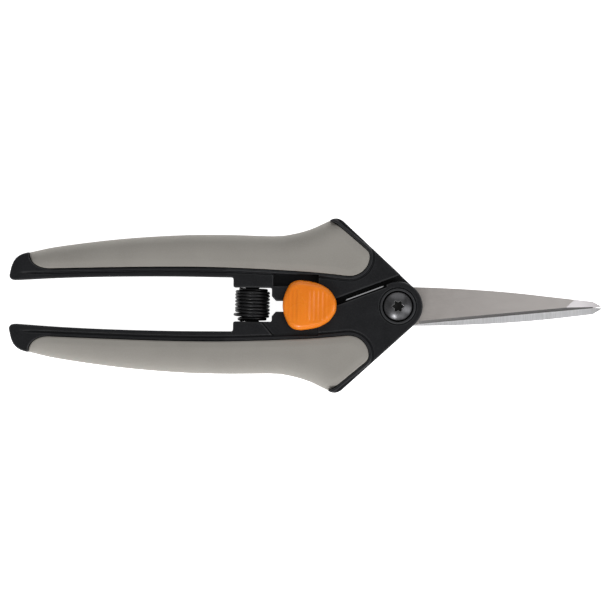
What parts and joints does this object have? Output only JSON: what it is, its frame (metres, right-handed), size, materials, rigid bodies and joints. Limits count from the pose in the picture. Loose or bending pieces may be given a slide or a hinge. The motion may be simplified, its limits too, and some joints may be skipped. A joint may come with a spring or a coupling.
{
  "type": "floral snips",
  "caption": "Spring-loaded floral snips with narrow pointed blades, soft-grip handles, a barrel return spring and a sliding thumb lock.",
  "frame": {"origin": "centre of the flat back end of the pivot screw, on the pivot axis", "axes": "+X along the closed tool from the pivot to the blade tips, +Y across the tool towards the upper handle, +Z along the pivot axis towards the lock button"},
  "size_m": [0.165, 0.0484, 0.0158],
  "materials": {
    "black_plastic": "fine moulded grain, satin",
    "grey_grip": "soft matt warm grey",
    "blade_steel": "brushed stainless steel with ground edges",
    "dark_steel": "dark burnished steel",
    "spring_steel": "black oiled spring wire",
    "orange_plastic": "satin orange"
  },
  "bodies": {
    "lower_half": {"lower_handle_core": "black_plastic", "lower_grip": "grey_grip", "front_blade": "blade_steel", "pivot_screw": "dark_steel", "pivot_nut": "dark_steel", "front_washer": "dark_steel", "rear_washer": "dark_steel", "return_spring": "spring_steel"},
    "upper_half": {"upper_handle_core": "black_plastic", "upper_grip": "grey_grip", "rear_blade": "blade_steel"},
    "lock": {"lock_button": "orange_plastic", "lock_retainer": "black_plastic"}
  },
  "joints": [
    {"name": "pivot", "type": "hinge", "parent": "lower_half", "child": "upper_half", "pos_m": [0, 0, 0.007], "axis": [0, 0, -1], "range_deg": [0, 30], "deforming": ["return_spring"]},
    {"name": "lock_slide", "type": "slide", "parent": "lower_half", "child": "lock", "axis": [-1, 0, 0], "range_m": [0, 0.004]}
  ]
}
